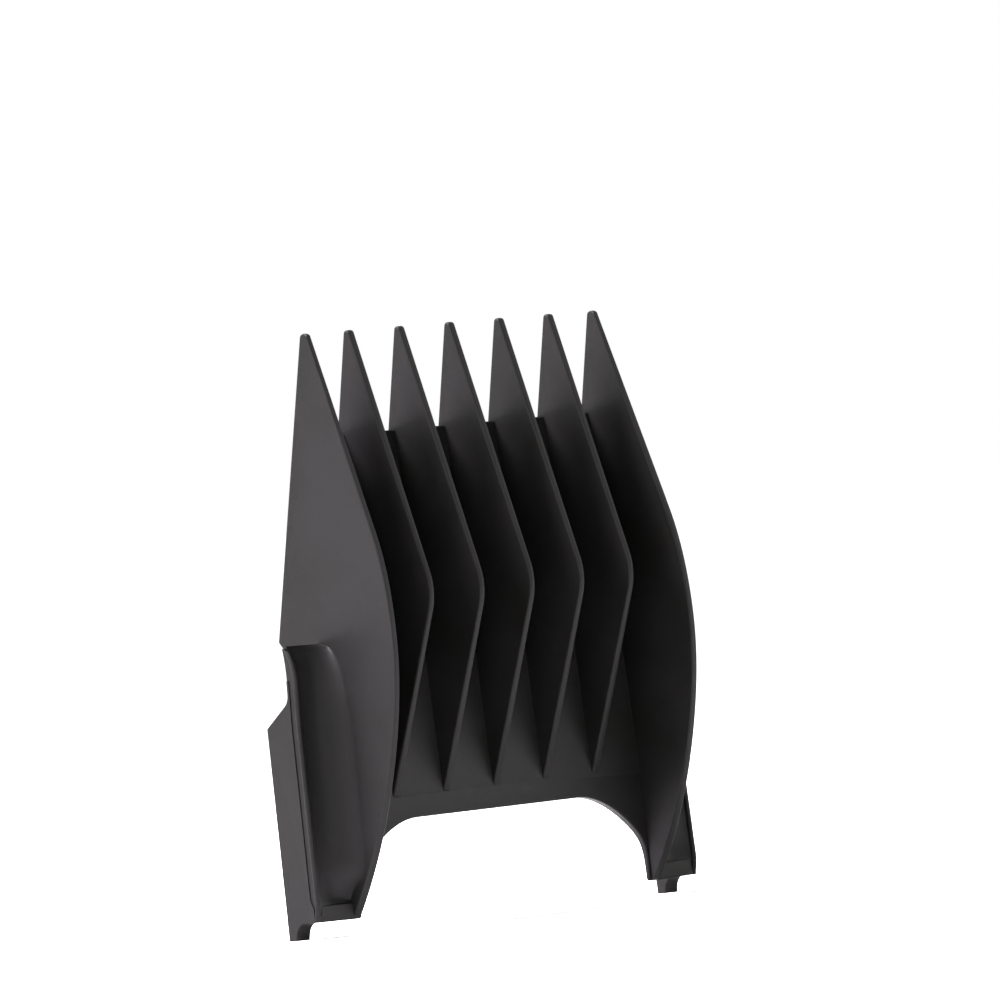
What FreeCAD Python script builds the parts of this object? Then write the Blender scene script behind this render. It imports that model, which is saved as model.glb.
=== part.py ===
"""Clipper guard comb: a black slide-on comb with seven teeth and two stepped legs.

Frame, in millimetres: X runs across the teeth, +Z points from the legs to the tooth tips, and -Y is
the side that lies on the skin, so +Y is the side where the clipper's head lies. X = 0 is the
plane of symmetry, Z = 0 is the level of the rail ends and Y = 0 is the middle of the whole depth.
Profiles are drawn in the YZ plane, with y = 0 in the sketch a little behind the crossbar, and
every finished piece is moved to the frame's middle depth at the end.
"""
import FreeCAD, Part
import math
import os

# Teeth
PITCH = 6.5
INNER_TEETH = 5
TOOTH_FRONT_THICKNESS = 0.6
TOOTH_BACK_THICKNESS = 1.0
TIP_Z = 59.5
TIP_RADIUS = 0.38
PEAK_Y = -12.6
PEAK_Z = 33.0
PEAK_RADIUS = 5.3
UPPER_EDGE_ANGLE = 19.2
ROOT_Y = -3.6
ROOT_Z = 12.9

# The sloped plane of the wall and tooth backs, which runs down from the tips
BACK_ANGLE = 13.46
BACK_Y_AT_PEAK = 3.65

# Web and crossbar
WEB_TOP_Z = 49.3
WEB_THICKNESS = 1.2
CROSSBAR_BOTTOM_Z = 10.8
CROSSBAR_THICKNESS = 1.5
ARCH_START_X = 10.5
ARCH_MIDDLE_X = 16.6
ARCH_MIDDLE_Z = 8.0
ARCH_LOW_X = 18.4
ARCH_LOW_Z = 5.8
ARCH_END_Z = 1.6
ARCH_END_WIDTH = 0.3

# Side walls, which stand WALL_FLARE degrees outwards of upright
WALL_OUTER_TIP_X = 19.0
WALL_THICKNESS = 1.1
WALL_TIP_THICKNESS = 0.6
WALL_TIP_WIDTH = 1.2
WALL_FULL_THICKNESS_Z = 36.0
WALL_FLARE = 1.15
WALL_EDGE_ANGLE = 21.0
WALL_STRAIGHT_TO_Z = 39.0
WALL_PEAK_Y = -13.4
WALL_PEAK_Z = 28.0
WALL_LOWER_Y = -10.4
WALL_LOWER_Z = 13.5
WALL_FOOT_Y = -3.8
WALL_FOOT_SLOPE = 0.75
WALL_BOTTOM_Z = 1.6
WALL_STEP_Z = 29.3
WALL_STEP_Y = 3.6
WALL_STEP_HEIGHT = 1.0
WALL_BACK_Y = -2.1
WALL_BACK_FOOT_Y = -3.1

# Shoulder, rail and foot of a leg, whose lower end leans LEG_LEAN degrees towards the skin side
LEG_LEAN = 2.4
SHOULDER_WIDTH = 4.75
SHOULDER_FRONT_Y = -2.7
SHOULDER_THICKNESS = 1.1
SHOULDER_TOP_Z = 28.9
SHOULDER_TOP_Y = -2.3
SHOULDER_CURVE_Z = 25.5
RAIL_THICKNESS = 1.7
RAIL_FRONT_Y = -3.6
RAIL_BACK_Y = 1.4
RAIL_SHOULDER_Z = 20.9
RAIL_NECK_Y = -2.2
RAIL_NECK_Z = 23.4
RAIL_TOP_Y = -1.9
RAIL_TOP_Z = 28.7
RAIL_TOP_WIDTH = 0.8
RAIL_HEEL_Y = 0.3
RAIL_HEEL_RADIUS = 1.4
RAIL_HOLLOW_RADIUS = 0.7
RAIL_BEND_RADIUS = 2.8
FOOT_FRONT_Y = -3.2
FOOT_TOP_Z = 3.3
FOOT_INSET = 0.6

# How far a cutting shape passes the edge that it trims, and a length greater than the whole comb
MARGIN = 5.0
REACH = 100.0


def tangent(degrees):
    return math.tan(math.radians(degrees))


def back_y(z):
    """Depth of the sloped back plane at height z."""
    return BACK_Y_AT_PEAK - tangent(BACK_ANGLE) * (z - PEAK_Z)


def point(y, z):
    return FreeCAD.Vector(0, y, z)


def rounded_outline(corners):
    """Closed YZ wire through (y, z, radius) corners, each rounded to its own radius."""
    edges = []
    starts = []
    ends = []
    arcs = []
    count = len(corners)
    for index, (y, z, radius) in enumerate(corners):
        corner = point(y, z)
        before = point(*corners[index - 1][:2]) - corner
        after = point(*corners[(index + 1) % count][:2]) - corner
        before.normalize()
        after.normalize()
        if radius <= 0:
            starts.append(corner)
            ends.append(corner)
            arcs.append(None)
            continue
        half = before.getAngle(after) / 2
        setback = radius / math.tan(half)
        middle = before + after
        middle.normalize()
        centre = corner + middle * (radius / math.sin(half))
        starts.append(corner + before * setback)
        ends.append(corner + after * setback)
        arcs.append(Part.Arc(starts[-1], centre - middle * radius, ends[-1]).toShape())
    for index in range(count):
        if arcs[index] is not None:
            edges.append(arcs[index])
        edges.append(Part.LineSegment(ends[index], starts[(index + 1) % count]).toShape())
    return Part.Wire(edges)


def plate(wire, thickness, left_x):
    """A YZ outline made solid from left_x over its thickness."""
    solid = Part.Face(wire).extrude(FreeCAD.Vector(thickness, 0, 0))
    solid.translate(FreeCAD.Vector(left_x, 0, 0))
    return solid


def web_front_y(z):
    """Depth of the web's front face at height z: from the crossbar up to the back plane."""
    top_y = back_y(WEB_TOP_Z) - WEB_THICKNESS
    return ROOT_Y + (top_y - ROOT_Y) * (z - ROOT_Z) / (WEB_TOP_Z - ROOT_Z)


def tooth(middle_x):
    """A plate, thinner in front: straight from its tip to a rounded peak, then straight back to the web."""
    tip_front_y = PEAK_Y + tangent(UPPER_EDGE_ANGLE) * (TIP_Z - PEAK_Z)
    outline = rounded_outline([
        (tip_front_y, TIP_Z, TIP_RADIUS),
        (PEAK_Y, PEAK_Z, PEAK_RADIUS),
        (ROOT_Y, ROOT_Z, 0),
        (web_front_y(WEB_TOP_Z), WEB_TOP_Z, 0),
        (back_y(WEB_TOP_Z), WEB_TOP_Z, 0),
        (back_y(TIP_Z), TIP_Z, TIP_RADIUS),
    ])
    front, back = TOOTH_FRONT_THICKNESS / 2, TOOTH_BACK_THICKNESS / 2
    draft = Part.makePolygon([
        FreeCAD.Vector(middle_x - front, PEAK_Y, 0),
        FreeCAD.Vector(middle_x + front, PEAK_Y, 0),
        FreeCAD.Vector(middle_x + back, back_y(WEB_TOP_Z), 0),
        FreeCAD.Vector(middle_x - back, back_y(WEB_TOP_Z), 0),
        FreeCAD.Vector(middle_x - front, PEAK_Y, 0),
    ])
    wedge = Part.Face(draft).extrude(FreeCAD.Vector(0, 0, TIP_Z + MARGIN))
    return plate(outline, TOOTH_BACK_THICKNESS, middle_x - back).common(wedge)


def wall_outline():
    """Side wall: a straight back, a bowed front edge and a leg that narrows to its foot."""
    slope = tangent(WALL_EDGE_ANGLE)
    round_z = TIP_Z - TIP_RADIUS
    tip_back = point(back_y(round_z), round_z)
    tip_front = point(tip_back.y - WALL_TIP_WIDTH, round_z)
    straight_end = point(tip_front.y - slope * (round_z - WALL_STRAIGHT_TO_Z), WALL_STRAIGHT_TO_Z)
    foot_front = point(WALL_FOOT_Y, WALL_BOTTOM_Z)
    bow = Part.BSplineCurve()
    bow.interpolate(
        Points=[straight_end, point(WALL_PEAK_Y, WALL_PEAK_Z), point(WALL_LOWER_Y, WALL_LOWER_Z), foot_front],
        InitialTangent=point(-slope, -1),
        FinalTangent=point(WALL_FOOT_SLOPE, -1),
    )
    corners = [
        foot_front,
        point(WALL_BACK_FOOT_Y, WALL_BOTTOM_Z),
        point(WALL_BACK_Y, ROOT_Z),
        point(WALL_STEP_Y, (ROOT_Z + WALL_STEP_Z) / 2),
        point(WALL_STEP_Y, WALL_STEP_Z - WALL_STEP_HEIGHT),
        point(back_y(WALL_STEP_Z), WALL_STEP_Z),
        tip_back,
    ]
    edges = [bow.toShape()]
    for start, end in zip(corners, corners[1:]):
        edges.append(Part.LineSegment(start, end).toShape())
    tip_top = point((tip_front.y + tip_back.y) / 2, TIP_Z)
    edges.append(Part.Arc(tip_back, tip_top, tip_front).toShape())
    edges.append(Part.LineSegment(tip_front, straight_end).toShape())
    return Part.Wire(edges)


def leaned(y, z):
    """A point of a leg, moved towards the skin side by the lean below the rail's shoulder."""
    return point(y - tangent(LEG_LEAN) * max(RAIL_SHOULDER_Z - z, 0), z)


def shoulder_outline():
    """The plate that steps the leg outwards: upright, with its top curving back."""
    front_foot = leaned(SHOULDER_FRONT_Y, WALL_BOTTOM_Z)
    front_bend = leaned(SHOULDER_FRONT_Y, RAIL_SHOULDER_Z)
    front_curve = Part.BSplineCurve()
    front_curve.interpolate(
        Points=[front_bend, point(SHOULDER_FRONT_Y, SHOULDER_CURVE_Z), point(SHOULDER_TOP_Y, SHOULDER_TOP_Z)]
    )
    back_curve = front_curve.copy()
    thickness = FreeCAD.Vector(0, SHOULDER_THICKNESS, 0)
    back_curve.translate(thickness)
    top = point(SHOULDER_TOP_Y, SHOULDER_TOP_Z)
    return Part.Wire([
        Part.LineSegment(front_foot, front_bend).toShape(),
        front_curve.toShape(),
        Part.LineSegment(top, top + thickness).toShape(),
        back_curve.toShape(),
        Part.LineSegment(front_bend + thickness, front_foot + thickness).toShape(),
        Part.LineSegment(front_foot + thickness, front_foot).toShape(),
    ])


def rail_outline():
    """The outer plate that slides over the clipper's side, with a sloped top and a heel."""
    front_bend = leaned(RAIL_FRONT_Y, RAIL_SHOULDER_Z)
    front_foot = leaned(RAIL_FRONT_Y, WALL_BOTTOM_Z)
    heel = leaned(RAIL_HEEL_Y, 0)
    back_foot = leaned(RAIL_BACK_Y, -MARGIN)
    return rounded_outline([
        (RAIL_TOP_Y - RAIL_TOP_WIDTH / 2, RAIL_TOP_Z, 0),
        (RAIL_FRONT_Y, SHOULDER_CURVE_Z, RAIL_BEND_RADIUS),
        (front_bend.y, front_bend.z, 0),
        (front_foot.y, front_foot.z, 0),
        (heel.y - RAIL_HEEL_RADIUS, WALL_BOTTOM_Z, RAIL_HOLLOW_RADIUS),
        (heel.y, -MARGIN, 0),
        (back_foot.y, back_foot.z, 0),
        (RAIL_BACK_Y, RAIL_SHOULDER_Z, 0),
        (RAIL_NECK_Y, RAIL_NECK_Z, 0),
        (RAIL_NECK_Y, SHOULDER_CURVE_Z, 0),
        (RAIL_TOP_Y + RAIL_TOP_WIDTH / 2, RAIL_TOP_Z, 0),
    ])


def foot_block(inner_x, outer_x):
    """The lip that closes the leg's channel, below the shoulder and beside the rail."""
    front = leaned(FOOT_FRONT_Y, WALL_BOTTOM_Z).y
    return Part.makeBox(
        inner_x - outer_x,
        SHOULDER_THICKNESS + SHOULDER_FRONT_Y - FOOT_FRONT_Y,
        FOOT_TOP_Z - WALL_BOTTOM_Z,
        FreeCAD.Vector(outer_x, front, WALL_BOTTOM_Z),
    )


def flare_out(solid):
    """Lean a left-hand piece outwards about its tooth tip and trim it level with the rail ends."""
    solid.rotate(FreeCAD.Vector(-WALL_OUTER_TIP_X, 0, TIP_Z), FreeCAD.Vector(0, 1, 0), WALL_FLARE)
    below = Part.makeBox(REACH, REACH, REACH, FreeCAD.Vector(-REACH, -REACH / 2, -REACH))
    return solid.cut(below)


def tip_relief(outer_face):
    """The thin wedge that tapers a left side wall's inner face towards its tip."""
    inner_face = outer_face + WALL_THICKNESS
    wire = Part.makePolygon([
        FreeCAD.Vector(inner_face, 0, WALL_FULL_THICKNESS_Z),
        FreeCAD.Vector(inner_face + MARGIN, 0, WALL_FULL_THICKNESS_Z),
        FreeCAD.Vector(inner_face + MARGIN, 0, TIP_Z),
        FreeCAD.Vector(outer_face + WALL_TIP_THICKNESS, 0, TIP_Z),
        FreeCAD.Vector(inner_face, 0, WALL_FULL_THICKNESS_Z),
    ])
    relief = Part.Face(wire).extrude(FreeCAD.Vector(0, REACH, 0))
    relief.translate(FreeCAD.Vector(0, -REACH / 2, 0))
    return relief


def left_leg():
    """The left wall, shoulder, rail and foot by name, as upright plates and then flared."""
    outer_face = -WALL_OUTER_TIP_X
    rail_face = outer_face - SHOULDER_WIDTH
    rail = plate(rail_outline(), RAIL_THICKNESS, rail_face)
    foot = foot_block(outer_face, rail_face + FOOT_INSET).cut(rail)
    shoulder = plate(shoulder_outline(), SHOULDER_WIDTH, rail_face).cut(rail).cut(foot)
    wall = plate(wall_outline(), WALL_THICKNESS, outer_face).cut(tip_relief(outer_face))
    pieces = {"side_wall": wall, "shoulder": shoulder, "rail": rail, "foot": foot}
    return {name: flare_out(solid) for name, solid in pieces.items()}


def inner_half_width(z):
    """Distance from the middle plane to a side wall's inner face at height z."""
    lean = math.radians(WALL_FLARE)
    return WALL_OUTER_TIP_X - WALL_THICKNESS / math.cos(lean) + math.tan(lean) * (TIP_Z - z)


def inner_space():
    """The tapered space between the side walls, front to back."""
    half_top = inner_half_width(TIP_Z)
    half_bottom = inner_half_width(0)
    wire = Part.makePolygon([
        FreeCAD.Vector(-half_bottom, 0, 0),
        FreeCAD.Vector(half_bottom, 0, 0),
        FreeCAD.Vector(half_top, 0, TIP_Z),
        FreeCAD.Vector(-half_top, 0, TIP_Z),
        FreeCAD.Vector(-half_bottom, 0, 0),
    ])
    space = Part.Face(wire).extrude(FreeCAD.Vector(0, REACH, 0))
    space.translate(FreeCAD.Vector(0, -REACH / 2, 0))
    return space


def web():
    """The steep plate behind the teeth, from the crossbar up to the back plane."""
    top_y = web_front_y(WEB_TOP_Z)
    outline = Part.makePolygon([
        point(ROOT_Y, ROOT_Z),
        point(top_y, WEB_TOP_Z),
        point(back_y(WEB_TOP_Z), WEB_TOP_Z),
        point(ROOT_Y + CROSSBAR_THICKNESS, ROOT_Z),
        point(ROOT_Y, ROOT_Z),
    ])
    return plate(outline, REACH, -REACH / 2).common(inner_space())


def crossbar():
    """The bar under the web, whose arch runs down to the inside of both walls, thinner towards its feet."""
    foot_x = inner_half_width(ARCH_END_Z)
    left_foot = FreeCAD.Vector(-foot_x, 0, ARCH_END_Z)
    right_foot = FreeCAD.Vector(foot_x, 0, ARCH_END_Z)
    left_end = left_foot + FreeCAD.Vector(ARCH_END_WIDTH, 0, 0)
    right_end = right_foot - FreeCAD.Vector(ARCH_END_WIDTH, 0, 0)
    left_start = FreeCAD.Vector(-ARCH_START_X, 0, CROSSBAR_BOTTOM_Z)
    right_start = FreeCAD.Vector(ARCH_START_X, 0, CROSSBAR_BOTTOM_Z)
    left_middle = FreeCAD.Vector(-ARCH_MIDDLE_X, 0, ARCH_MIDDLE_Z)
    right_middle = FreeCAD.Vector(ARCH_MIDDLE_X, 0, ARCH_MIDDLE_Z)
    left_low = FreeCAD.Vector(-ARCH_LOW_X, 0, ARCH_LOW_Z)
    right_low = FreeCAD.Vector(ARCH_LOW_X, 0, ARCH_LOW_Z)
    top_x = inner_half_width(ROOT_Z)
    left_top = FreeCAD.Vector(-top_x, 0, ROOT_Z)
    right_top = FreeCAD.Vector(top_x, 0, ROOT_Z)
    level = FreeCAD.Vector(1, 0, 0)
    steep = FreeCAD.Vector(0, 0, 1)
    left_arch = Part.BSplineCurve()
    left_points = [left_end, left_low, left_middle, left_start]
    left_arch.interpolate(Points=left_points, InitialTangent=steep, FinalTangent=level)
    right_arch = Part.BSplineCurve()
    right_points = [right_start, right_middle, right_low, right_end]
    right_arch.interpolate(Points=right_points, InitialTangent=level, FinalTangent=-steep)
    outline = Part.Wire([
        left_arch.toShape(),
        Part.LineSegment(left_start, right_start).toShape(),
        right_arch.toShape(),
        Part.LineSegment(right_end, right_foot).toShape(),
        Part.LineSegment(right_foot, right_top).toShape(),
        Part.LineSegment(right_top, left_top).toShape(),
        Part.LineSegment(left_top, left_foot).toShape(),
        Part.LineSegment(left_foot, left_end).toShape(),
    ])
    bar = Part.Face(outline).extrude(FreeCAD.Vector(0, CROSSBAR_THICKNESS, 0))
    bar.translate(FreeCAD.Vector(0, ROOT_Y, 0))
    taper = Part.makePolygon([
        point(ROOT_Y, ARCH_END_Z),
        point(ROOT_Y, ROOT_Z),
        point(ROOT_Y + CROSSBAR_THICKNESS, ROOT_Z),
        point(WALL_BACK_FOOT_Y, ARCH_END_Z),
        point(ROOT_Y, ARCH_END_Z),
    ])
    return bar.common(plate(taper, REACH, -REACH / 2))


def main():
    os.makedirs("parts", exist_ok=True)
    nodes = {"web": web(), "crossbar": crossbar()}
    for index in range(INNER_TEETH):
        nodes[f"inner_tooth_{index + 1}"] = tooth((index - (INNER_TEETH - 1) / 2) * PITCH)
    for name, solid in left_leg().items():
        nodes[f"left_{name}"] = solid
        nodes[f"right_{name}"] = solid.mirror(FreeCAD.Vector(0, 0, 0), FreeCAD.Vector(1, 0, 0))
    box = Part.makeCompound(list(nodes.values())).optimalBoundingBox()
    to_middle = FreeCAD.Vector(0, -(box.YMin + box.YMax) / 2, 0)
    print("size", round(box.XLength, 3), round(box.YLength, 3), round(box.ZLength, 3), "shift", to_middle.y)
    for name, solid in nodes.items():
        solid.translate(to_middle)
        print(name, "valid", solid.isValid(), "solids", len(solid.Solids), "volume", round(solid.Volume, 1))
        solid.exportStep(f"parts/{name}.step")


main()
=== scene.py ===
"""Clipper guard comb: satin black moulded plastic, with soft moulded edges, on a pale studio floor.

Every piece is drawn in millimetres from the same driving sizes as the comb's design, with y = 0 a
little behind the crossbar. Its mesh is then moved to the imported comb's depth and scaled to metres.
"""

import math

import bmesh
import bpy
from mathutils import Matrix, Vector


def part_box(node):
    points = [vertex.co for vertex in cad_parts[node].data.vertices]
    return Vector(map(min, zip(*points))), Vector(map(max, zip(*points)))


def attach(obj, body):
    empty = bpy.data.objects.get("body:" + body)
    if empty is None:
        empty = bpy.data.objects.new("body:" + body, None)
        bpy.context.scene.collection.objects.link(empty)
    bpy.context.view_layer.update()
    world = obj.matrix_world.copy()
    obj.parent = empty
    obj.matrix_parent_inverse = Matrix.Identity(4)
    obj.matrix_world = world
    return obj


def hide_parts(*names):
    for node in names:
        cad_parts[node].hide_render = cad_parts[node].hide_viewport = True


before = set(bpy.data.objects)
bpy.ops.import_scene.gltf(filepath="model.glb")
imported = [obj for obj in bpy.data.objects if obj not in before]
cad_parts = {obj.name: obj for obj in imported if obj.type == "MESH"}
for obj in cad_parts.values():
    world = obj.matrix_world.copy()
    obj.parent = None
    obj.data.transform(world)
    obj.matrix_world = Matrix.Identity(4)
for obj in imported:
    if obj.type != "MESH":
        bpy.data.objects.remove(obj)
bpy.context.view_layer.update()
MM = 0.001

# Driving sizes of the comb, in millimetres and degrees
PITCH = 6.5
INNER_TEETH = 5
TOOTH_FRONT_THICKNESS = 0.6
TOOTH_BACK_THICKNESS = 1.0
TIP_Z = 59.5
TIP_RADIUS = 0.38
PEAK = (-12.6, 33.0)
PEAK_RADIUS = 5.3
UPPER_EDGE_ANGLE = 19.2
ROOT = (-3.6, 12.9)
BACK_ANGLE = 13.46
BACK_Y_AT_PEAK = 3.65
WEB_TOP_Z = 49.3
WEB_THICKNESS = 1.2
CROSSBAR_THICKNESS = 1.5
CROSSBAR_BOTTOM_Z = 10.8
ARCH_START_X = 10.5
ARCH_KNOTS = ((16.6, 8.0), (18.4, 5.8))
ARCH_END_Z = 1.6
ARCH_END_WIDTH = 0.3
WALL_OUTER_TIP_X = 19.0
WALL_THICKNESS = 1.1
WALL_TIP_THICKNESS = 0.6
WALL_TIP_WIDTH = 1.2
WALL_FULL_THICKNESS_Z = 36.0
WALL_FLARE = 1.15
WALL_EDGE_ANGLE = 21.0
WALL_STRAIGHT_TO_Z = 39.0
WALL_PEAK = (-13.4, 28.0)
WALL_LOWER = (-10.4, 13.5)
WALL_FOOT_Y = -3.8
WALL_FOOT_SLOPE = 0.75
WALL_BOTTOM_Z = 1.6
WALL_STEP = (3.6, 29.3)
WALL_STEP_HEIGHT = 1.0
WALL_BACK_Y = -2.1
WALL_BACK_FOOT_Y = -3.1
LEG_LEAN = 2.4
SHOULDER_WIDTH = 4.75
SHOULDER_FRONT_Y = -2.7
SHOULDER_THICKNESS = 1.1
SHOULDER_TOP = (-2.3, 28.9)
SHOULDER_CURVE_Z = 25.5
RAIL_THICKNESS = 1.7
RAIL_FRONT_Y = -3.6
RAIL_BACK_Y = 1.4
RAIL_SHOULDER_Z = 20.9
RAIL_NECK = (-2.2, 23.4)
RAIL_TOP_Z = 28.7
RAIL_HEEL_Y = 0.3
RAIL_HEEL_RADIUS = 1.4
RAIL_DRAWN_TO_Z = -1.7
FOOT_FRONT_Y = -3.2
FOOT_TOP_Z = 3.3
FOOT_INSET = 0.6

# Soft forms that the moulding has and the design's plain plates do not, in millimetres
EDGE_ROUND = 0.2
TOOTH_EDGE_ROUND = 0.28
WALL_FRONT_THICKNESS = 0.65
WALL_BEND_RADIUS = 2.8
COVE_DEPTH = 3.6
COVE_FADE = 9.0
COVE_FOOT_FADE = 2.5
SCOOP_SHARE = 0.55
RAMP_HEIGHT = 0.6
RAMP_DEPTH = 0.4
BEAD_RADIUS = 0.28
GROOVE_DEPTH = 0.1
FOOT_CORNER = 0.7
FOOT_CHAMFER = 0.45

# How far a piece is sunk into its neighbour, and how finely curves are divided
EMBED = 0.4
WELD_METRES = 1e-7
ROUND_SEGMENTS = 3
SHARP_ANGLE = math.radians(35)
LEVEL_STEP = 0.4
ARC_STEP = math.radians(6)
TIP_ARC_STEPS = 9
SPLINE_STEPS = 14
RAIL_LEVELS = 34
COVE_STEPS = 16
BEAD_SIDES = 12

# Material and light: lengths in metres, powers in watts
SPECULAR = 0.12
ROUGHNESS = (0.5, 0.6)
EDGE_POLISH = -0.08
DARK_TINT = (0.0032, 0.0032, 0.0028)
LIGHT_TINT = (0.0055, 0.0052, 0.0055)
TINT_STOPS = (0.35, 0.7)
GRAIN_SCALE = 5500.0
GRAIN_DETAIL = 3.0
GRAIN_STRENGTH = 0.4
GRAIN_DEPTH = 0.00003
FLOW_SCALE = 90.0
FLOW_DETAIL = 2.0
FLOW_RANGE = (0.3, 0.7)
SPECK_SCALE = 700.0
SPECK_DETAIL = 1.0
SPECK_RANGE = (0.68, 0.76)
EDGE_RANGE = (0.52, 0.6)
FLOOR_SIZE = 40.0
FLOOR_CELLS = 4
FLOOR_WHITE = 0.99
FLOOR_VARIATION = 0.01
FLOOR_ROUGHNESS = 0.9
FLOOR_GRAIN_SCALE = 30.0
WORLD_STRENGTH = 1.0
SUN_STRENGTH = 0.8
SUN_ANGLE = math.radians(60)
# Each softbox has a name, a place, a side, a power and a colour
LIGHTS = (
    ("left_light", (-0.34, 0.16, 0.5), 0.3, 21.0, (1.0, 0.94, 1.0)),
    ("right_light", (1.0, -0.65, 0.3), 0.6, 8.0, (1.0, 1.0, 0.95)),
)

# Camera: level with the comb, to its left, rolled a little; its distance in metres, its aim in millimetres
AZIMUTH = math.radians(40)
ROLL = math.radians(-5.47)
CAMERA_DISTANCE = 1.0004
AIM = Vector((4.08, -3.422, 41.33))
LENS_MM = 360
SENSOR_MM = 36


def tangent(degrees):
    return math.tan(math.radians(degrees))


def back_y(z):
    """Depth of the sloped back plane at height z."""
    return BACK_Y_AT_PEAK - tangent(BACK_ANGLE) * (z - PEAK[1])


# The comb is packed at its middle depth, and its web's top edge lies on the back plane
DEPTH_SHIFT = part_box("web")[1][1] / MM - back_y(WEB_TOP_Z)


def web_front_y(z):
    """Depth of the web's front face at height z."""
    top_y = back_y(WEB_TOP_Z) - WEB_THICKNESS
    return ROOT[0] + (top_y - ROOT[0]) * (z - ROOT[1]) / (WEB_TOP_Z - ROOT[1])


def web_back_y(z):
    """Depth of the web's back face at height z."""
    foot_y = ROOT[0] + CROSSBAR_THICKNESS
    return foot_y + (back_y(WEB_TOP_Z) - foot_y) * (z - ROOT[1]) / (WEB_TOP_Z - ROOT[1])


def rounded(corners):
    """Points along a closed outline of (y, z, radius) corners, each turned on its own radius."""
    points = []
    count = len(corners)
    for index, (y, z, radius) in enumerate(corners):
        corner = Vector((y, z))
        if radius <= 0:
            points.append(corner)
            continue
        before = (Vector(corners[index - 1][:2]) - corner).normalized()
        after = (Vector(corners[(index + 1) % count][:2]) - corner).normalized()
        half = before.angle(after) / 2
        centre = corner + (before + after).normalized() * (radius / math.sin(half))
        start = corner + before * (radius / math.tan(half)) - centre
        end = corner + after * (radius / math.tan(half)) - centre
        steps = max(2, round(start.angle(end) / ARC_STEP))
        for step in range(steps + 1):
            points.append(centre + start.normalized().slerp(end.normalized(), step / steps) * radius)
    return points


def spline(knots, start_slope=None, end_slope=None):
    """A smooth run through (y, z) knots, which leaves and arrives along the slopes given."""
    knots = [Vector(knot) for knot in knots]
    spans = [(b - a).length for a, b in zip(knots, knots[1:])]
    chords = [(b - a) / span for a, b, span in zip(knots, knots[1:], spans)]
    slopes = [Vector(start_slope).normalized() if start_slope else chords[0]]
    for low, high, before, after in zip(spans, spans[1:], chords, chords[1:]):
        slopes.append((before * high + after * low) / (low + high))
    slopes.append(Vector(end_slope).normalized() if end_slope else chords[-1])
    points = []
    for a, b, leave, arrive, span in zip(knots, knots[1:], slopes, slopes[1:], spans):
        for step in range(SPLINE_STEPS):
            t = step / SPLINE_STEPS
            ease = t * t * (3 - 2 * t)
            points.append(
                a * (1 - ease) + b * ease
                + leave * (span * t * (1 - t) ** 2) - arrive * (span * t * t * (1 - t))
            )
    points.append(knots[-1])
    return points


def loft(sections):
    """A closed bmesh through a row of loops that have the same number of points."""
    mesh = bmesh.new()
    rings = [[mesh.verts.new(point) for point in section] for section in sections]
    mesh.faces.new(rings[0])
    mesh.faces.new(reversed(rings[-1]))
    for ring, following in zip(rings, rings[1:]):
        for index in range(len(ring)):
            mesh.faces.new((ring[index], ring[index - 1], following[index - 1], following[index]))
    bmesh.ops.recalc_face_normals(mesh, faces=mesh.faces)
    return mesh


def plate(outline, left_x, right_x):
    """A (y, z) outline made solid between two functions that give x from y and z."""
    return loft([[(side(y, z), y, z) for y, z in outline] for side in (left_x, right_x)])


def cut_level(mesh, height, keep_above=False):
    """Slice the mesh at a height, and where asked drop what is below and close the cut."""
    parts = mesh.verts[:] + mesh.edges[:] + mesh.faces[:]
    cut = bmesh.ops.bisect_plane(
        mesh, geom=parts, plane_co=(0, 0, height), plane_no=(0, 0, 1), clear_inner=keep_above
    )
    if keep_above:
        rim = [part for part in cut["geom_cut"] if isinstance(part, bmesh.types.BMEdge)]
        bmesh.ops.contextual_create(mesh, geom=rim)
        bmesh.ops.recalc_face_normals(mesh, faces=mesh.faces)


def flare_out(mesh):
    """Lean a left-hand piece outwards about its tooth tip and trim it level with the rail ends."""
    turn = math.radians(WALL_FLARE)
    for vert in mesh.verts:
        x = vert.co.x + WALL_OUTER_TIP_X
        z = vert.co.z - TIP_Z
        vert.co.x = x * math.cos(turn) + z * math.sin(turn) - WALL_OUTER_TIP_X
        vert.co.z = z * math.cos(turn) - x * math.sin(turn) + TIP_Z
    cut_level(mesh, 0, keep_above=True)


def inner_half_width(z):
    """Distance from the middle plane to a side wall's inner face at height z."""
    lean = math.radians(WALL_FLARE)
    return WALL_OUTER_TIP_X - WALL_THICKNESS / math.cos(lean) + math.tan(lean) * (TIP_Z - z)


def finish_piece(mesh, node, rounding=EDGE_ROUND, mirrored=False):
    """Place a drawn mesh in the frame, round its edges and let it stand for its CAD node."""
    for vert in mesh.verts:
        x, y, z = vert.co
        vert.co = Vector((-x if mirrored else x, y + DEPTH_SHIFT, z)) * MM
    bmesh.ops.remove_doubles(mesh, verts=mesh.verts, dist=WELD_METRES)
    bmesh.ops.recalc_face_normals(mesh, faces=mesh.faces)
    data = bpy.data.meshes.new(f"{node}_form")
    mesh.to_mesh(data)
    mesh.free()
    data.shade_smooth()
    data.materials.append(black_plastic)
    piece = bpy.data.objects.new(f"{node}_form", data)
    bpy.context.collection.objects.link(piece)
    bevel = piece.modifiers.new("edge_round", "BEVEL")
    bevel.width = rounding * MM
    bevel.segments = ROUND_SEGMENTS
    bevel.limit_method = "ANGLE"
    bevel.angle_limit = SHARP_ANGLE
    bevel.harden_normals = True
    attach(piece, "root")
    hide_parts(node)
    return piece


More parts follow.
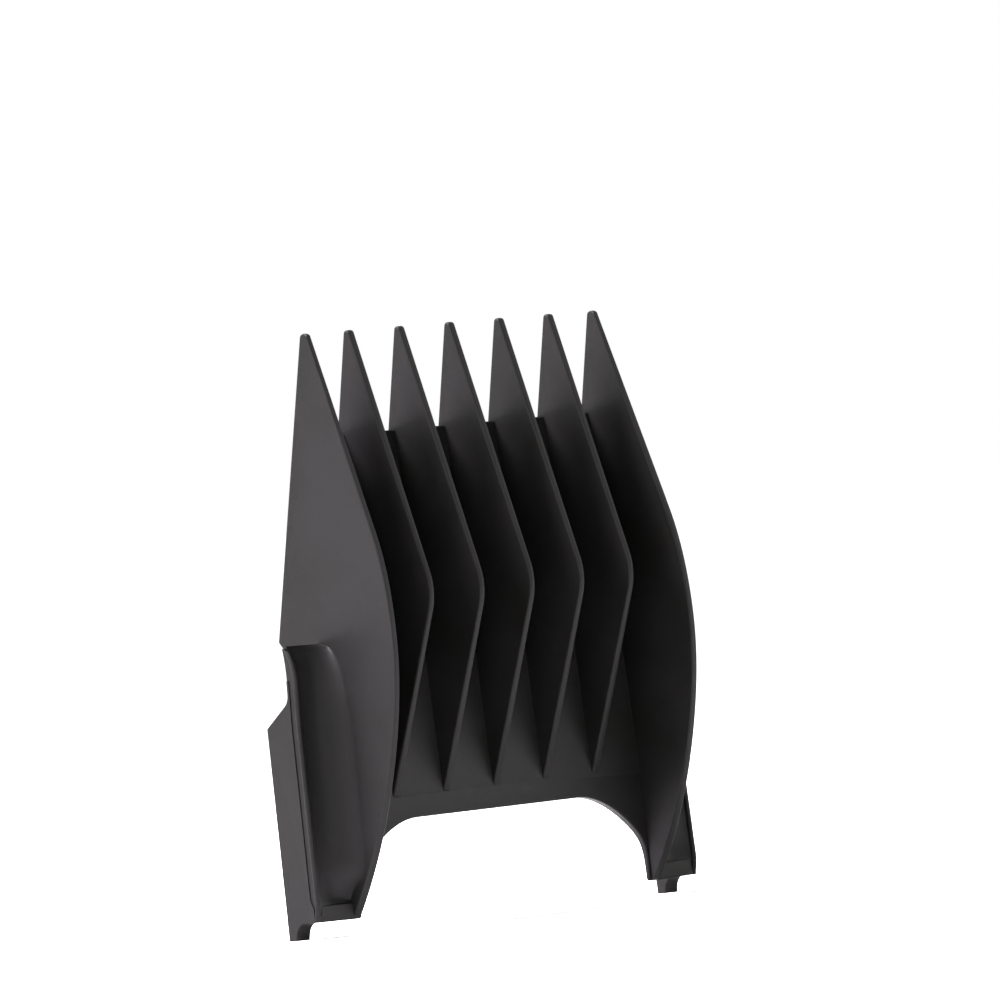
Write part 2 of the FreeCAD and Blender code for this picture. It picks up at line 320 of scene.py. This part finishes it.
def tooth(middle_x):
    """A plate, thinner in front, whose foot is sunk into the web."""
    tip_front_y = PEAK[0] + tangent(UPPER_EDGE_ANGLE) * (TIP_Z - PEAK[1])
    low = WEB_TOP_Z - 2 * EMBED
    outline = rounded([
        (tip_front_y, TIP_Z, TIP_RADIUS),
        (*PEAK, PEAK_RADIUS),
        (*ROOT, 0),
        (ROOT[0] + EMBED, ROOT[1] + EMBED, 0),
        (web_front_y(low) + EMBED, low, 0),
        (web_back_y(low) - EMBED / 2, low, 0),
        (back_y(WEB_TOP_Z), WEB_TOP_Z, 0),
        (back_y(TIP_Z), TIP_Z, TIP_RADIUS),
    ])
    depth = back_y(WEB_TOP_Z) - PEAK[0]

    def half(y):
        share = (y - PEAK[0]) / depth
        return (TOOTH_FRONT_THICKNESS + (TOOTH_BACK_THICKNESS - TOOTH_FRONT_THICKNESS) * share) / 2

    return plate(outline, lambda y, z: middle_x - half(y), lambda y, z: middle_x + half(y))


def side_wall():
    """The bowed outer plate: thinner along its front edge and towards its tip."""
    slope = tangent(WALL_EDGE_ANGLE)
    round_z = TIP_Z - TIP_RADIUS
    tip_back = back_y(round_z)
    tip_front = tip_back - WALL_TIP_WIDTH
    straight_end = (tip_front - slope * (round_z - WALL_STRAIGHT_TO_Z), WALL_STRAIGHT_TO_Z)
    foot = (WALL_FOOT_Y, WALL_BOTTOM_Z)
    bow = spline([straight_end, WALL_PEAK, WALL_LOWER, foot], (-slope, -1), (WALL_FOOT_SLOPE, -1))
    middle = (tip_front + tip_back) / 2
    half = WALL_TIP_WIDTH / 2
    tip = [
        Vector((middle + half * math.cos(turn), round_z + TIP_RADIUS * math.sin(turn)))
        for turn in (math.pi * step / TIP_ARC_STEPS for step in range(TIP_ARC_STEPS + 1))
    ]
    back = rounded([
        (*foot, 0),
        (WALL_BACK_FOOT_Y, WALL_BOTTOM_Z, 0),
        (WALL_BACK_Y, ROOT[1], 0),
        (WALL_STEP[0], (ROOT[1] + WALL_STEP[1]) / 2, WALL_BEND_RADIUS),
        (WALL_STEP[0], WALL_STEP[1] - WALL_STEP_HEIGHT, 0),
        (back_y(WALL_STEP[1]), WALL_STEP[1], 0),
    ])
    depth = WALL_BACK_Y - WALL_PEAK[0]

    def inner_x(y, z):
        share = min((y - WALL_PEAK[0]) / depth, 1)
        return WALL_FRONT_THICKNESS + (WALL_THICKNESS - WALL_FRONT_THICKNESS) * share - WALL_OUTER_TIP_X

    mesh = plate(bow[:-1] + back + tip, lambda y, z: -WALL_OUTER_TIP_X, inner_x)
    cut_level(mesh, WALL_FULL_THICKNESS_Z)
    for vert in mesh.verts:
        share = (vert.co.z - WALL_FULL_THICKNESS_Z) / (TIP_Z - WALL_FULL_THICKNESS_Z)
        wall = vert.co.x + WALL_OUTER_TIP_X
        if share > 0 and wall > 0:
            vert.co.x = wall + (WALL_TIP_THICKNESS - wall) * share - WALL_OUTER_TIP_X
    return mesh


def leaned(y, z):
    """Depth of a leg's point, moved towards the skin side by the lean below the rail's shoulder."""
    return y - tangent(LEG_LEAN) * max(RAIL_SHOULDER_Z - z, 0)


def wall_edge_y(z):
    """Depth of the side wall's front edge over the leg, from its peak down to its foot."""
    run = spline([WALL_PEAK, WALL_LOWER, (WALL_FOOT_Y, WALL_BOTTOM_Z)], (0, -1), (WALL_FOOT_SLOPE, -1))
    for high, low in zip(run, run[1:]):
        if low.y <= z <= high.y:
            return low.x + (high.x - low.x) * (z - low.y) / (high.y - low.y)
    return run[0].x if z > run[0].y else run[-1].x


def rise(z, top_z):
    """Share of the way from the bend in the leg to its top, which grows as a square."""
    return max((z - SHOULDER_CURVE_Z) / (top_z - SHOULDER_CURVE_Z), 0) ** 2


def shoulder_front_y(z):
    """Depth of the channel's floor: upright, curving back to its top, with a ramp down to the foot."""
    ramp = max(1 - (z - FOOT_TOP_Z) / RAMP_HEIGHT, 0) ** 2
    top = (SHOULDER_TOP[0] - SHOULDER_FRONT_Y) * rise(z, SHOULDER_TOP[1])
    return leaned(SHOULDER_FRONT_Y, z) + top - RAMP_DEPTH * min(ramp, 1)


def rail_front_y(z):
    """Depth of the rail's near edge: upright, curving back to its top and cut back beside the foot."""
    beside_foot = min(max((FOOT_TOP_Z - z) / (FOOT_TOP_Z - WALL_BOTTOM_Z), 0), 1)
    top = (SHOULDER_TOP[0] - RAIL_FRONT_Y) * rise(z, SHOULDER_TOP[1])
    return leaned(RAIL_FRONT_Y, z) + top + FOOT_CHAMFER * beside_foot


def shoulder():
    """The plate that steps the leg outwards: a channel that sweeps forward to the side wall."""
    face_x = -WALL_OUTER_TIP_X - SHOULDER_WIDTH
    start_x = face_x + BEAD_RADIUS
    rail_x = face_x + RAIL_THICKNESS - EMBED
    inner = -WALL_OUTER_TIP_X
    levels = math.ceil((SHOULDER_TOP[1] - WALL_BOTTOM_Z) / LEVEL_STEP)
    sections = []
    for level in range(levels + 1):
        z = WALL_BOTTOM_Z + (SHOULDER_TOP[1] - WALL_BOTTOM_Z) * level / levels
        floor = shoulder_front_y(z)
        lip_height = max(floor - rail_front_y(z) - BEAD_RADIUS, 0)
        back = leaned(SHOULDER_FRONT_Y, z) + SHOULDER_THICKNESS
        fade = min((SHOULDER_TOP[1] - z) / COVE_FADE, 1)
        room = max(floor - wall_edge_y(z) - EMBED, 0)
        over_foot = min(max((z - FOOT_TOP_Z) / COVE_FOOT_FADE, 0), 1)
        depth = min(COVE_DEPTH * math.sqrt(1 - (1 - fade) ** 2), room) * over_foot
        ring = []
        for step in range(COVE_STEPS + 1):
            turn = math.pi / 2 * step / COVE_STEPS
            share = math.sin(turn)
            scoop = lip_height * max(1 - share / SCOOP_SHARE, 0)
            y = floor - scoop - depth * (1 - math.cos(turn))
            ring.append((start_x + (inner - start_x) * share, y, z))
        ring.append((inner + EMBED, floor - depth, z))
        ring.append((inner + EMBED, back, z))
        ring.append((rail_x, back, z))
        ring.append((start_x, max(back - SHOULDER_THICKNESS / 2, floor + EMBED / 2), z))
        sections.append(ring)
    return loft(sections)


def merge(mesh, other):
    """Add another bmesh's form to the first and free it."""
    carrier = bpy.data.meshes.new("carrier")
    other.to_mesh(carrier)
    other.free()
    mesh.from_mesh(carrier)
    bpy.data.meshes.remove(carrier)


def bead(x):
    """The thin round bead that runs down the rail's near edge."""
    sections = []
    span = RAIL_TOP_Z - WALL_BOTTOM_Z
    steps = math.ceil(span / LEVEL_STEP)
    for step in range(steps + 1):
        z = RAIL_TOP_Z - BEAD_RADIUS - (span - BEAD_RADIUS) * step / steps
        middle = rail_front_y(z) + BEAD_RADIUS
        sections.append([
            (x + BEAD_RADIUS * math.cos(turn), middle + BEAD_RADIUS * math.sin(turn), z)
            for turn in (2 * math.pi * side / BEAD_SIDES for side in range(BEAD_SIDES))
        ])
    return loft(sections)


def lip(left_x, right_x):
    """The thin strip behind the bead, which reaches half way through the shoulder's thickness."""
    sections = []
    for step in range(RAIL_LEVELS + 1):
        z = RAIL_TOP_Z + (WALL_BOTTOM_Z - RAIL_TOP_Z) * step / RAIL_LEVELS
        near = rail_front_y(z) + BEAD_RADIUS
        far = shoulder_front_y(z) + SHOULDER_THICKNESS / 2
        sections.append([(left_x, near, z), (right_x, near, z), (right_x, far, z), (left_x, far, z)])
    return loft(sections)


def rail():
    """The outer plate that slides over the clipper's side: a core, a thin lip and a bead."""
    heel_y = leaned(RAIL_HEEL_Y, 0)
    fall = WALL_BOTTOM_Z - SHOULDER_CURVE_Z
    levels = [SHOULDER_CURVE_Z + fall * step / RAIL_LEVELS for step in range(RAIL_LEVELS)]
    near = [Vector((shoulder_front_y(z) + EMBED / 2, z)) for z in levels]
    far = rounded([
        (shoulder_front_y(WALL_BOTTOM_Z) + EMBED / 2, WALL_BOTTOM_Z, 0),
        (heel_y - EMBED, WALL_BOTTOM_Z, RAIL_HEEL_RADIUS),
        (heel_y + EMBED, RAIL_DRAWN_TO_Z, 0),
        (leaned(RAIL_BACK_Y, RAIL_DRAWN_TO_Z), RAIL_DRAWN_TO_Z, 0),
        (RAIL_BACK_Y, RAIL_SHOULDER_Z, EDGE_ROUND),
        (*RAIL_NECK, RAIL_HEEL_RADIUS),
        (RAIL_NECK[0], SHOULDER_CURVE_Z, 0),
    ])
    face_x = -WALL_OUTER_TIP_X - SHOULDER_WIDTH
    mesh = plate(near + far, lambda y, z: face_x, lambda y, z: face_x + RAIL_THICKNESS)
    merge(mesh, lip(face_x + GROOVE_DEPTH, face_x + 2 * BEAD_RADIUS))
    merge(mesh, bead(face_x + BEAD_RADIUS))
    return mesh


def foot():
    """The lip that closes the leg's channel, with its lower outer corner taken off."""
    front = leaned(FOOT_FRONT_Y, WALL_BOTTOM_Z)
    back = front + SHOULDER_THICKNESS + SHOULDER_FRONT_Y - FOOT_FRONT_Y
    outer = FOOT_INSET - WALL_OUTER_TIP_X - SHOULDER_WIDTH
    inner = EMBED - WALL_OUTER_TIP_X
    loop = [
        (outer + FOOT_CORNER, WALL_BOTTOM_Z),
        (inner, WALL_BOTTOM_Z),
        (inner, FOOT_TOP_Z),
        (outer, FOOT_TOP_Z),
        (outer, WALL_BOTTOM_Z + FOOT_CORNER),
    ]
    return loft([[(x, y, z) for x, z in loop] for y in (front, back)])


def web():
    """The sloped plate behind the teeth, sunk a little into the walls and the crossbar."""
    low = ROOT[1] - 2 * EMBED
    outline = [
        Vector((ROOT[0] + EMBED / 2, low)),
        Vector(ROOT),
        Vector((web_front_y(WEB_TOP_Z), WEB_TOP_Z)),
        Vector((back_y(WEB_TOP_Z), WEB_TOP_Z)),
        Vector((web_back_y(ROOT[1]), ROOT[1])),
        Vector((web_back_y(ROOT[1]) - EMBED / 2, low)),
    ]
    return plate(
        outline,
        lambda y, z: -inner_half_width(z) - EMBED,
        lambda y, z: inner_half_width(z) + EMBED,
    )


def crossbar():
    """The bar under the web, whose arch runs down the inside of both walls, thinner towards its feet."""
    foot_x = inner_half_width(ARCH_END_Z)
    end = (foot_x - ARCH_END_WIDTH, ARCH_END_Z)
    arch = spline([(ARCH_START_X, CROSSBAR_BOTTOM_Z), *ARCH_KNOTS, end], (1, 0), (0, -1))
    top_x = inner_half_width(ROOT[1]) + EMBED
    right = arch + [
        Vector((foot_x + EMBED, ARCH_END_Z)),
        Vector((top_x, ROOT[1])),
        Vector((top_x, ROOT[1] + EMBED)),
    ]
    loop = right + [Vector((-x, z)) for x, z in reversed(right)]
    top_back = ROOT[0] + CROSSBAR_THICKNESS
    lean = (top_back - WALL_BACK_FOOT_Y) / (ROOT[1] - ARCH_END_Z)
    front = [(x, ROOT[0] + (EMBED / 2 if z > ROOT[1] else 0), z) for x, z in loop]
    back = [
        (x, top_back - (EMBED / 2 if z > ROOT[1] else lean * (ROOT[1] - z)), z)
        for x, z in loop
    ]
    return loft([front, back])


def plastic():
    """Satin black moulded plastic: fine spark-eroded grain, faint flow marks and polished edges."""
    material = bpy.data.materials.new("black_plastic_moulded")
    material.use_nodes = True
    nodes, links = material.node_tree.nodes, material.node_tree.links
    shader = nodes["Principled BSDF"]
    shader.inputs["Specular IOR Level"].default_value = SPECULAR
    place = nodes.new("ShaderNodeTexCoord")

    def noise(scale, detail):
        node = nodes.new("ShaderNodeTexNoise")
        node.inputs["Scale"].default_value = scale
        node.inputs["Detail"].default_value = detail
        links.new(place.outputs["Object"], node.inputs["Vector"])
        return node

    def ramp(source, low, high, first, last):
        node = nodes.new("ShaderNodeMapRange")
        node.inputs["From Min"].default_value = low
        node.inputs["From Max"].default_value = high
        node.inputs["To Min"].default_value = first
        node.inputs["To Max"].default_value = last
        links.new(source, node.inputs["Value"])
        return node.outputs["Result"]

    grain = noise(GRAIN_SCALE, GRAIN_DETAIL)
    flow = noise(FLOW_SCALE, FLOW_DETAIL)
    speck = noise(SPECK_SCALE, SPECK_DETAIL)
    edges = nodes.new("ShaderNodeNewGeometry")

    tint = nodes.new("ShaderNodeValToRGB")
    for stop, place_on_ramp, colour in zip(tint.color_ramp.elements, TINT_STOPS, (DARK_TINT, LIGHT_TINT)):
        stop.position = place_on_ramp
        stop.color = (*colour, 1)
    links.new(flow.outputs["Fac"], tint.inputs["Fac"])
    links.new(tint.outputs["Color"], shader.inputs["Base Color"])

    rough = nodes.new("ShaderNodeMath")
    rough.operation = "ADD"
    links.new(ramp(flow.outputs["Fac"], *FLOW_RANGE, *ROUGHNESS), rough.inputs[0])
    links.new(ramp(edges.outputs["Pointiness"], *EDGE_RANGE, 0.0, EDGE_POLISH), rough.inputs[1])
    specked = nodes.new("ShaderNodeMath")
    specked.operation = "ADD"
    links.new(rough.outputs["Value"], specked.inputs[0])
    links.new(ramp(speck.outputs["Fac"], *SPECK_RANGE, 0.0, EDGE_POLISH), specked.inputs[1])
    links.new(specked.outputs["Value"], shader.inputs["Roughness"])

    bump = nodes.new("ShaderNodeBump")
    bump.inputs["Strength"].default_value = GRAIN_STRENGTH
    bump.inputs["Distance"].default_value = GRAIN_DEPTH
    links.new(grain.outputs["Fac"], bump.inputs["Height"])
    links.new(bump.outputs["Normal"], shader.inputs["Normal"])
    return material


def studio_floor():
    """One large matt white floor under the comb."""
    mesh = bmesh.new()
    bmesh.ops.create_grid(mesh, x_segments=FLOOR_CELLS, y_segments=FLOOR_CELLS, size=FLOOR_SIZE / 2)
    data = bpy.data.meshes.new("studio_floor")
    mesh.to_mesh(data)
    mesh.free()
    floor = bpy.data.objects.new("studio_floor", data)
    bpy.context.collection.objects.link(floor)
    material = bpy.data.materials.new("studio_white")
    material.use_nodes = True
    nodes, links = material.node_tree.nodes, material.node_tree.links
    shader = nodes["Principled BSDF"]
    shader.inputs["Roughness"].default_value = FLOOR_ROUGHNESS
    shader.inputs["Specular IOR Level"].default_value = 0.0
    grain = nodes.new("ShaderNodeTexNoise")
    grain.inputs["Scale"].default_value = FLOOR_GRAIN_SCALE
    tone = nodes.new("ShaderNodeMapRange")
    tone.inputs["To Min"].default_value = FLOOR_WHITE - FLOOR_VARIATION
    tone.inputs["To Max"].default_value = FLOOR_WHITE
    links.new(grain.outputs["Fac"], tone.inputs["Value"])
    links.new(tone.outputs["Result"], shader.inputs["Base Color"])
    data.materials.append(material)


def area_light(name, place, size, power, colour):
    """A square softbox that faces the comb's middle."""
    data = bpy.data.lights.new(name, "AREA")
    data.shape = "SQUARE"
    data.size = size
    data.energy = power
    data.color = colour
    light = bpy.data.objects.new(name, data)
    light.location = place
    aim = Vector((0, 0, TIP_Z / 2 * MM)) - light.location
    light.rotation_euler = aim.to_track_quat("-Z", "Y").to_euler()
    bpy.context.collection.objects.link(light)


def lighting():
    world = bpy.data.worlds.new("studio")
    world.use_nodes = True
    world.node_tree.nodes["Background"].inputs["Color"].default_value = (1, 1, 1, 1)
    world.node_tree.nodes["Background"].inputs["Strength"].default_value = WORLD_STRENGTH
    bpy.context.scene.world = world
    for light in LIGHTS:
        area_light(*light)
    data = bpy.data.lights.new("overhead_light", "SUN")
    data.energy = SUN_STRENGTH
    data.angle = SUN_ANGLE
    bpy.context.collection.objects.link(bpy.data.objects.new("overhead_light", data))


def camera():
    data = bpy.data.cameras.new("camera")
    data.lens = LENS_MM
    data.sensor_width = SENSOR_MM
    eye = bpy.data.objects.new("camera", data)
    aim = (AIM + Vector((0, DEPTH_SHIFT, 0))) * MM
    back = Vector((-math.sin(AZIMUTH), -math.cos(AZIMUTH), 0))
    eye.location = aim + back * CAMERA_DISTANCE
    turn = back.to_track_quat("Z", "Y").to_matrix() @ Matrix.Rotation(ROLL, 3, "Z")
    eye.rotation_euler = turn.to_euler()
    bpy.context.collection.objects.link(eye)
    bpy.context.scene.camera = eye


black_plastic = plastic()
finish_piece(web(), "web")
finish_piece(crossbar(), "crossbar")
for index in range(INNER_TEETH):
    middle_x = (index - (INNER_TEETH - 1) / 2) * PITCH
    finish_piece(tooth(middle_x), f"inner_tooth_{index + 1}", TOOTH_EDGE_ROUND)
for name, draw in {"side_wall": side_wall, "shoulder": shoulder, "rail": rail, "foot": foot}.items():
    for side in ("left", "right"):
        form = draw()
        flare_out(form)
        finish_piece(form, f"{side}_{name}", mirrored=side == "right")
studio_floor()
lighting()
camera()
bpy.context.scene.view_settings.view_transform = "Standard"
